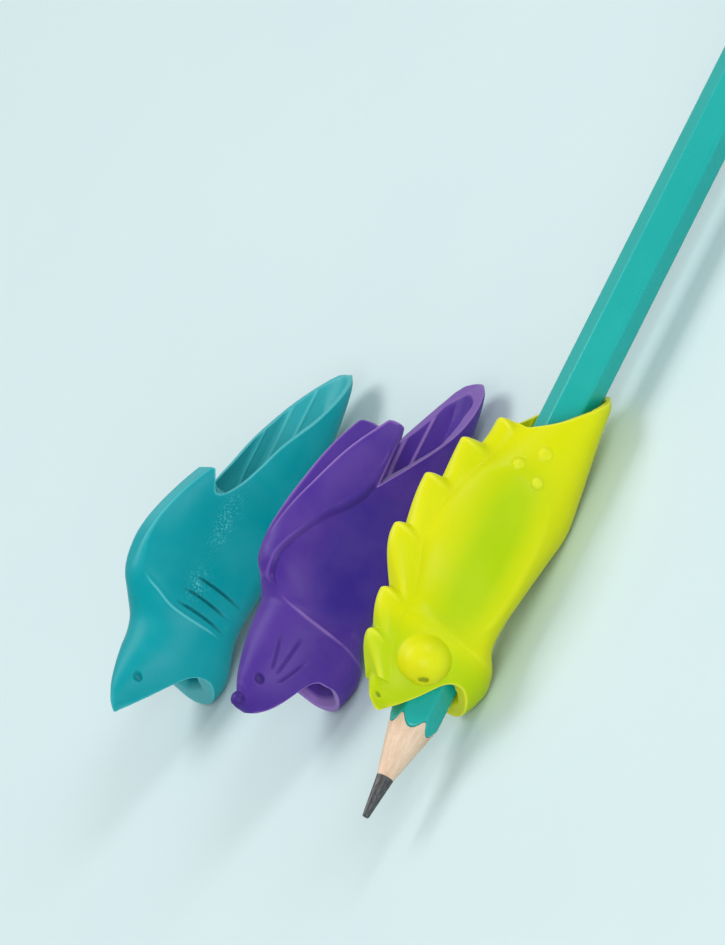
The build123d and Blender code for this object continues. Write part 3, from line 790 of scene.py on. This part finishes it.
def capped_bar(name, rings):
    """A mesh from rings along a bar; each end is closed by strips between the two halves of its ring."""
    rows, columns = rings.shape[:2]
    index = np.arange(rows * columns).reshape(rows, columns)
    beside = np.roll(index, -1, axis=1)
    quads = np.stack([index[:-1], index[1:], beside[1:], beside[:-1]], axis=-1).reshape(-1, 4)
    near = np.arange(columns // 2 - 1)
    far = columns - 1 - near
    ends = []
    for ring, order in ((index[0], (0, 1, 2, 3)), (index[-1], (3, 2, 1, 0))):
        strip = np.stack([ring[near], ring[near + 1], ring[far - 1], ring[far]], axis=-1)
        ends.append(strip[:, order])
    return mesh_piece(name, rings.reshape(-1, 3), np.concatenate([quads] + ends))


def grip_piece(name, grip, nose_x, row_y):
    """One whole grip in the row. Its rays turn evenly, plus a cosine that crowds them over the back."""
    even = np.arange(RAYS) / RAYS * 2 * math.pi - math.pi / 2
    angle = even + RAY_CROWD * np.cos(even)
    place, radius, pit_shade, dent_and_shade, light = profile_sheet(grip, angle)
    points = about_axis(nose_x, row_y, place, radius, angle)
    # The ridge mark carries painted highlight on outward turns and on the pale marks, and painted shade in
    # inward turns.
    marks = dict(pit_shade=pit_shade, dent_and_shade=dent_and_shade, ridge_highlight_and_shade=np.maximum(ridge_marks(points, pit_shade), light))
    if grip.pebbles:
        marks["pebble"] = sum(patch(place, radius * np.sin(angle), *spot) for spot in grip.pebbles)
    piece = closed_sheet(name + "_moulding", points, **marks)
    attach(piece, "grips")
    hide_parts(grip.node)
    return piece


def node_start(node):
    """Lowest X and middle Y of a CAD node's box, in millimetres."""
    low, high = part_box(node)
    return low[0] / MM, 0.5 * (low[1] + high[1]) / MM


places = {name: node_start(grip.node) for name, grip in GRIPS.items()}
pieces = {name: grip_piece(name, grip, *places[name]) for name, grip in GRIPS.items()}

# Pencil: a lead in two half casings under a coat of lacquer, with places from the lead's tip
PENCIL_START, PENCIL_Y = node_start("pencil_lead")
PENCIL_LENGTH = 132.0
PENCIL_APOTHEM = 3.3
PENCIL_CORNER = 3.7
LACQUER = 0.12
COAT_RAYS = 240
COAT_ROWS = 60
COAT_INNER_ROWS = 20
COAT_LAP = 0.25
COAT_END_RUN = 0.4
COAT_END_ROUND = 0.15
COAT_END_DROP = 0.08
WOOD_SLOPE = 0.2475
WOOD_RAYS = 121
WOOD_CONE_ROWS = 40
WOOD_GAP = 0.02
LEAD_RADIUS = 1.3
LEAD_POINT = 6.5
POINT_RADIUS = 0.5
LEAD_RAYS = 96
LEAD_CONE_ROWS = 24
BAR_ROWS = 30
LEAD_CONE_START = 0.3
LEAD_BAR_GAP = 0.1
# The blunt tip: places, and shares of the point's radius there
TIP_PLACES = (0.0, 0.03, 0.12)
TIP_SHARES = (0.55, 0.8, 0.97)


def six_flats(angle):
    """Radius of a six-sided bar, flat above and below: apothem over cosine, with rounded corners."""
    turn = np.mod(angle - math.pi / 2, math.pi / 3)
    flats = PENCIL_APOTHEM / np.cos(np.minimum(turn, math.pi / 3 - turn))
    return soft_min(flats, np.full_like(angle, PENCIL_CORNER), blend=0.12)


def cone_place(radius):
    """How far from the tip the sharpened wood reaches a radius."""
    return LEAD_POINT + (radius - LEAD_RADIUS) / WOOD_SLOPE


def pencil_points(x, radius, angle):
    """Points about the pencil's axis, from places along it measured from the tip."""
    return about_axis(PENCIL_START, PENCIL_Y, x, radius, np.broadcast_to(angle, x.shape))


def lacquer_piece():
    """A thin six-sided sleeve whose front edge follows the line where the sharpening cone leaves it."""
    angle = np.arange(COAT_RAYS) / COAT_RAYS * 2 * math.pi
    outer = six_flats(angle)
    inner = outer - LACQUER
    end = np.full_like(angle, PENCIL_LENGTH)
    front, first, last = cone_place(outer), cone_place(outer) + COAT_LAP, end - COAT_END_RUN
    outside = np.concatenate([
        front[None], stretch(first, last, COAT_ROWS), last[None], (end - COAT_END_ROUND)[None],
    ])
    back = cone_place(inner)
    inside = np.concatenate([stretch(end, back, COAT_INNER_ROWS)[1:], back[None]])
    x = np.concatenate([outside, end[None], inside])
    radius = np.concatenate([
        np.broadcast_to(outer, outside.shape), (outer - COAT_END_DROP)[None],
        np.broadcast_to(inner, inside.shape),
    ])
    return closed_sheet("pencil_lacquer_coat", pencil_points(x, radius, angle))


def slat_piece(name, start):
    """Half of the wooden casing: half rings of cone, then of six-sided bar, over the lead groove."""
    turn = start + np.linspace(0.0, math.pi, WOOD_RAYS)
    shell = six_flats(turn) - LACQUER
    edge = cone_place(shell)
    tip, end = (np.full_like(turn, place) for place in (LEAD_POINT + WOOD_GAP, PENCIL_LENGTH))
    x = np.concatenate([stretch(tip, edge, WOOD_CONE_ROWS), stretch(edge, end, BAR_ROWS), end[None]])
    outer = np.minimum(LEAD_RADIUS + (x - LEAD_POINT) * WOOD_SLOPE, shell)
    outside = pencil_points(x, outer, turn)
    lead_groove = pencil_points(x, np.full_like(x, LEAD_RADIUS), turn)
    return capped_bar(name, np.concatenate([outside, lead_groove[:, ::-1]], axis=1))


def lead_piece():
    """A round rod with a slightly blunted conical point."""
    angle = np.arange(LEAD_RAYS) / LEAD_RAYS * 2 * math.pi
    cone = np.linspace(LEAD_CONE_START, LEAD_POINT, LEAD_CONE_ROWS)
    bar = np.linspace(LEAD_POINT + LEAD_BAR_GAP, PENCIL_LENGTH, BAR_ROWS)
    x = np.concatenate([TIP_PLACES, cone, bar])
    radius = np.minimum(POINT_RADIUS + (LEAD_RADIUS - POINT_RADIUS) * x / LEAD_POINT, LEAD_RADIUS)
    radius[:len(TIP_SHARES)] = POINT_RADIUS * np.array(TIP_SHARES)
    x, radius = (np.broadcast_to(values[:, None], (len(x), LEAD_RAYS)) for values in (x, radius))
    return capped_bar("pencil_lead_rod", pencil_points(x, radius, angle))


pencil = {
    "pencil_lacquer": (lacquer_piece(), "pencil_lacquer"),
    "pencil_lead": (lead_piece(), "pencil_lead"),
    "pencil_upper_slat": (slat_piece("pencil_upper_half", 0.0), "casing"),
    "pencil_lower_slat": (slat_piece("pencil_lower_half", -math.pi), "casing"),
}
for node, (piece, slot) in pencil.items():
    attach(piece, "pencil")
    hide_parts(node)


def srgb(red, green, blue):
    """A colour written as screen values, turned into the linear values that nodes take."""
    c = np.array([red, green, blue]) / 255.0
    return (*np.where(c <= 0.04045, c / 12.92, ((c + 0.055) / 1.055) ** 2.4).tolist(), 1.0)


class Nodes:
    """Adds nodes to a tree, sets their values and joins them."""

    def __init__(self, tree):
        self.tree = tree

    def add(self, kind, values=None, **settings):
        """A node with its settings, and a value or a link for each named socket."""
        node = self.tree.nodes.new(kind)
        for name, value in settings.items():
            setattr(node, name, value)
        for socket, value in (values or {}).items():
            self.put(node.inputs[socket], value)
        return node

    def put(self, socket, value):
        """Links a socket to another one, or sets it to a plain value."""
        if isinstance(value, bpy.types.NodeSocket):
            self.tree.links.new(value, socket)
        else:
            socket.default_value = value

    def mix(self, share, first, second):
        """Two colours mixed: none of the second at 0 and all of it at 1."""
        node = self.add("ShaderNodeMix", data_type="RGBA")
        for socket, value in ((node.inputs[0], share), (node.inputs[6], first), (node.inputs[7], second)):
            self.put(socket, value)
        return node.outputs[2]

    def reckon(self, how, first, second, third=0.0):
        """Two or three values put together, such as multiplied."""
        node = self.add("ShaderNodeMath", operation=how)
        for socket, value in zip(node.inputs, (first, second, third)):
            self.put(socket, value)
        return node.outputs[0]

    def scale(self, value, span, to=(0.0, 1.0)):
        """A value carried from one span to another, and held at its ends."""
        ends = {"From Min": span[0], "From Max": span[1], "To Min": to[0], "To Max": to[1]}
        return self.add("ShaderNodeMapRange", {"Value": value, **ends}).outputs[0]

    def mark(self, name):
        """A point attribute of the piece."""
        return self.add("ShaderNodeAttribute", attribute_name=name).outputs["Fac"]

    def stretched(self, place, scale):
        """Coordinates multiplied along each axis."""
        return self.add("ShaderNodeMapping", {"Vector": place, "Scale": scale}).outputs[0]

    def noise(self, place, scale=1.0, detail=2.0, roughness=0.5):
        """Smooth noise, finer for a larger scale."""
        values = {"Vector": place, "Scale": scale, "Detail": detail, "Roughness": roughness}
        return self.add("ShaderNodeTexNoise", values).outputs["Fac"]

    def finish(self, shader, colour, roughness, height, strength, distance):
        """Sets a shader's colour and roughness, and bumps its normal by a height."""
        bump = self.add("ShaderNodeBump", {"Strength": strength, "Distance": distance, "Height": height})
        sockets = {"Base Color": colour, "Roughness": roughness, "Normal": bump.outputs["Normal"]}
        for socket, value in sockets.items():
            self.put(shader.inputs[socket], value)


def start_material(name):
    """A material with its node helper, its Principled shader and object coordinates."""
    material = bpy.data.materials.new(name)
    material.use_nodes = True
    nodes = Nodes(material.node_tree)
    shader = material.node_tree.nodes["Principled BSDF"]
    return material, nodes, shader, nodes.add("ShaderNodeTexCoord").outputs["Object"]


# Noise values spread about a half; these spans carry most of them to a full change
WIDE_SPAN = (0.3, 0.7)
NARROW_SPAN = (0.35, 0.65)

# Satin skin: noise scales per metre
GRAIN_SCALE = 5000.0
PEBBLE_SCALE = 3400.0
MOTTLE_SCALE = 130.0


def satin_group():
    """Satin skin: a grain with pebbles as height, a slow mottle and painted glints as bright specks, all
    from noise.

    Pebbles and painted glints are the coarse noise above a level, times the Pebble input.
    """
    tree = bpy.data.node_groups.new("satin skin", "ShaderNodeTree")
    tree.interface.new_socket("Place", in_out="INPUT", socket_type="NodeSocketVector")
    for socket, value in (("Grain Scale", GRAIN_SCALE), ("Pebble", 0.0)):
        made = tree.interface.new_socket(socket, in_out="INPUT", socket_type="NodeSocketFloat")
        made.default_value = value
    for socket in ("Height", "Mottle", "Glint"):
        tree.interface.new_socket(socket, in_out="OUTPUT", socket_type="NodeSocketFloat")
    nodes = Nodes(tree)
    given, out = nodes.add("NodeGroupInput").outputs, nodes.add("NodeGroupOutput").inputs
    fine = nodes.noise(given["Place"], given["Grain Scale"], detail=2.0)
    coarse = nodes.noise(given["Place"], PEBBLE_SCALE, detail=1.0)
    lump = nodes.scale(coarse, span=(0.4, 0.66), to=(0.0, 6.0))
    # Painted glints: bright specks over the pebbled patches.
    glint = nodes.scale(coarse, span=(0.5, 0.7), to=(0.0, 0.6))
    pebble, glint = (nodes.reckon("MULTIPLY", value, given["Pebble"]) for value in (lump, glint))
    nodes.put(out["Height"], nodes.reckon("ADD", fine, pebble))
    nodes.put(out["Mottle"], nodes.noise(given["Place"], MOTTLE_SCALE, detail=3.0))
    nodes.put(out["Glint"], glint)
    return tree


SATIN = satin_group()

# Moulded plastic: its shares of painted highlight on edges and painted shade in creases, and its finish
EDGE_HIGHLIGHT_SHARE = 0.6
EDGE_GLOSS = -0.08
PAINTED_SHADE_SHARE = 0.7
MOULDED_SPECULAR = 0.13


def moulded(name, body, painted_highlight, deep, hollow_shade, has_pebbles):
    """Soft moulded plastic: painted highlight on its edges, painted shade in its pits and creases, and
    painted shade towards a hollow colour in the finger hollows.
    """
    material, nodes, shader, place = start_material(name)
    skin = nodes.add("ShaderNodeGroup", node_tree=SATIN)
    nodes.put(skin.inputs["Place"], place)
    if has_pebbles:
        nodes.put(skin.inputs["Pebble"], nodes.mark("pebble"))
    mottle = skin.outputs["Mottle"]
    ridge_highlight_and_shade = nodes.mark("ridge_highlight_and_shade")
    # Painted highlight on outward turns, which are also a little glossier.
    edge = nodes.scale(ridge_highlight_and_shade, span=(0.16, 0.85))
    # Painted shade in inward turns, joined with the painted shade of the pits.
    crease = nodes.scale(ridge_highlight_and_shade, span=(-0.2, -0.9), to=(0.0, 0.6))
    crease = nodes.reckon("MAXIMUM", nodes.mark("pit_shade"), crease)
    # Painted highlight from the pale edges and the glints.
    light = nodes.reckon("MAXIMUM", nodes.reckon("MULTIPLY", edge, EDGE_HIGHLIGHT_SHARE), skin.outputs["Glint"])
    # Painted shade towards the hollow colour in the finger hollows.
    colour = nodes.mix(nodes.scale(nodes.mark("dent_and_shade"), span=(0.0, 0.6)), srgb(*body), srgb(*hollow_shade))
    colour = nodes.mix(nodes.scale(mottle, NARROW_SPAN, to=(0.0, 0.07)), colour, srgb(*painted_highlight))
    colour = nodes.mix(light, colour, srgb(*painted_highlight))
    # Painted shade: the deep colour in pits and creases.
    colour = nodes.mix(nodes.reckon("MULTIPLY", crease, PAINTED_SHADE_SHARE), colour, srgb(*deep))
    rough = nodes.scale(mottle, WIDE_SPAN, to=(0.33, 0.42))
    rough = nodes.reckon("MULTIPLY_ADD", edge, EDGE_GLOSS, rough)
    nodes.finish(shader, colour, rough, skin.outputs["Height"], strength=0.35, distance=0.00003)
    shader.inputs["Specular IOR Level"].default_value = MOULDED_SPECULAR
    return material


ENAMEL_DARK, ENAMEL_LIGHT = srgb(0, 164, 158), srgb(14, 178, 171)
ENAMEL_GRAIN = 250.0


def lacquered():
    """Glossy enamel with a slight orange-peel and a slow change of shade."""
    material, nodes, shader, place = start_material("teal_enamel")
    skin = nodes.add("ShaderNodeGroup", node_tree=SATIN)
    nodes.put(skin.inputs["Place"], place)
    nodes.put(skin.inputs["Grain Scale"], ENAMEL_GRAIN)
    mottle = skin.outputs["Mottle"]
    colour = nodes.mix(nodes.scale(mottle, WIDE_SPAN, to=(0.0, 0.2)), ENAMEL_DARK, ENAMEL_LIGHT)
    rough = nodes.scale(mottle, WIDE_SPAN, to=(0.25, 0.3))
    nodes.finish(shader, colour, rough, skin.outputs["Height"], strength=0.03, distance=0.00002)
    return material


WOOD_DARK, WOOD_LIGHT, WOOD_PORE = srgb(210, 178, 150), srgb(229, 203, 178), srgb(190, 150, 118)
WOOD_STREAKS = (60.0, 1400.0, 1400.0)
WOOD_PORES = (500.0, 6000.0, 6000.0)
WOOD_RINGS = {"Scale": 700.0, "Distortion": 1.5, "Detail": 1.0}
STREAK_HEIGHT = 0.7
RING_HEIGHT = 0.5


def sharpened_wood():
    """Pale pink-brown wood: streaks stretched along the pencil, pores, and fine rings left by the blade."""
    material, nodes, shader, place = start_material("sharpened_wood")
    streak = nodes.noise(nodes.stretched(place, WOOD_STREAKS), detail=4.0, roughness=0.6)
    pore = nodes.noise(nodes.stretched(place, WOOD_PORES), detail=2.0)
    wave = nodes.add("ShaderNodeTexWave", {"Vector": place, **WOOD_RINGS}, bands_direction="X")
    colour = nodes.mix(nodes.scale(streak, WIDE_SPAN), WOOD_DARK, WOOD_LIGHT)
    colour = nodes.mix(nodes.scale(pore, span=(0.6, 0.75), to=(0.0, 0.5)), colour, WOOD_PORE)
    rings = nodes.reckon("MULTIPLY", wave.outputs["Fac"], RING_HEIGHT)
    height = nodes.reckon("ADD", nodes.reckon("MULTIPLY", streak, STREAK_HEIGHT), rings)
    rough = nodes.scale(streak, WIDE_SPAN, to=(0.75, 0.6))
    nodes.finish(shader, colour, rough, height, strength=0.3, distance=0.00004)
    return material


GRAPHITE_DARK, GRAPHITE_LIGHT = srgb(52, 52, 54), srgb(88, 88, 90)
SCRATCHES = (900.0, 7000.0, 7000.0)
GRAPHITE_METALLIC = 0.25


def graphite():
    """Dark grey lead with a dull sheen and fine scratches along its point."""
    material, nodes, shader, place = start_material("graphite")
    scratch = nodes.noise(nodes.stretched(place, SCRATCHES), detail=3.0)
    colour = nodes.mix(nodes.scale(scratch, NARROW_SPAN), GRAPHITE_DARK, GRAPHITE_LIGHT)
    rough = nodes.scale(scratch, WIDE_SPAN, to=(0.5, 0.36))
    nodes.finish(shader, colour, rough, scratch, strength=0.3, distance=0.00002)
    shader.inputs["Metallic"].default_value = GRAPHITE_METALLIC
    return material


CARD_DARK, CARD_LIGHT = (0.6, 0.75, 0.77, 1.0), (0.63, 0.77, 0.79, 1.0)
CARD_MOTTLE = 30.0
CARD_ROUGHNESS = 0.75


def pale_card():
    """Smooth pale card with the faintest mottle."""
    material, nodes, shader, place = start_material("pale_card")
    colour = nodes.mix(nodes.noise(place, CARD_MOTTLE, detail=2.0), CARD_DARK, CARD_LIGHT)
    nodes.put(shader.inputs["Base Color"], colour)
    shader.inputs["Roughness"].default_value = CARD_ROUGHNESS
    return material


# Colours of each grip: its body, its painted highlight on edges, its painted shade in pits and its painted
# shade in the finger hollows
MOULDINGS = {
    "shark": ("teal_moulding", (0, 150, 159), (100, 200, 205), (0, 64, 76), (0, 146, 154)),
    "mouse": ("violet_moulding", (72, 44, 142), (172, 134, 206), (30, 18, 88), (58, 40, 140)),
    "chameleon": ("lime_moulding", (212, 214, 0), (236, 232, 66), (84, 112, 6), (170, 200, 6)),
}
for name, (title, *colours) in MOULDINGS.items():
    pieces[name].data.materials.append(moulded(title, *colours, bool(GRIPS[name].pebbles)))
wood = sharpened_wood()
finishes = {
    "pencil_lacquer": lacquered(),
    "pencil_lead": graphite(),
    "pencil_upper_slat": wood,
    "pencil_lower_slat": wood,
}
for node, material in finishes.items():
    pencil[node][0].data.materials.append(material)

# Camera: looks down on the row from one side, turned so that the bores rise to the right
PICTURE = (725, 945)
PIXEL = 0.145 * MM
NOSE_PIXEL = (274.7, 731.7)
AZIMUTH = math.radians(-15.0)
ELEVATION = math.radians(25.0)
BORE_SLANT = math.radians(63.2)
FOCAL_LENGTH = 1000
SENSOR = 36
CLIP_END = 50


def add_camera():
    """A far camera with a long lens, aimed so that the mouse's nose falls on its pixel.

    The bore's direction, seen square to the line of sight, is turned by its slant in the picture.
    """
    level = math.cos(ELEVATION)
    back = Vector((math.sin(AZIMUTH) * level, -math.cos(AZIMUTH) * level, math.sin(ELEVATION)))
    along = (Vector((1, 0, 0)) - back * back.x).normalized()
    upward = back.cross(along)
    right = along * math.cos(BORE_SLANT) - upward * math.sin(BORE_SLANT)
    top = along * math.sin(BORE_SLANT) + upward * math.cos(BORE_SLANT)
    nose = Vector((*places["mouse"], AXIS_HEIGHT)) * MM
    shift_x, shift_y = (PICTURE[k] / 2 - NOSE_PIXEL[k] for k in (0, 1))
    target = nose + right * (shift_x * PIXEL) - top * (shift_y * PIXEL)
    lens = bpy.data.cameras.new("camera")
    lens.lens = FOCAL_LENGTH
    lens.sensor_width = SENSOR
    lens.clip_end = CLIP_END
    camera = bpy.data.objects.new("camera", lens)
    bpy.context.scene.collection.objects.link(camera)
    distance = PICTURE[1] * PIXEL * FOCAL_LENGTH / SENSOR
    facing = Matrix((right, top, back)).transposed().to_4x4()
    camera.matrix_world = Matrix.Translation(target + back * distance) @ facing
    bpy.context.scene.camera = camera


add_camera()

# Floor, world and lamps: a lamp is its place, the side of its square and its power
FLOOR_HALF = 3000.0
WORLD_STRENGTH = 0.4
LAMPS = {
    "key": ((-0.02, 0.3, 0.65), 0.4, 2.4),
    "fill": ((-0.4, -0.75, 0.4), 0.5, 4.2),
    "tail": ((0.62, -0.5, 0.5), 0.3, 2.4),
}
corners = [(-1, -1, 0), (1, -1, 0), (1, 1, 0), (-1, 1, 0)]
floor = mesh_piece("floor", FLOOR_HALF * np.array(corners), np.array([[0, 1, 2, 3]]))
floor.data.materials.append(pale_card())

world = bpy.data.worlds.new("studio")
bpy.context.scene.world = world
world.use_nodes = True
background = world.node_tree.nodes["Background"]
background.inputs["Color"].default_value = (1, 1, 1, 1)
background.inputs["Strength"].default_value = WORLD_STRENGTH


def add_lamp(name, place, size, power):
    """A square soft box that points at the origin."""
    light = bpy.data.lights.new(name, "AREA")
    light.size = size
    light.energy = power
    box = bpy.data.objects.new(name, light)
    bpy.context.scene.collection.objects.link(box)
    box.location = place
    box.rotation_euler = (-Vector(place)).to_track_quat("-Z", "Y").to_euler()


for name, lamp in LAMPS.items():
    add_lamp(name, *lamp)

bpy.context.scene.view_settings.view_transform = "Standard"
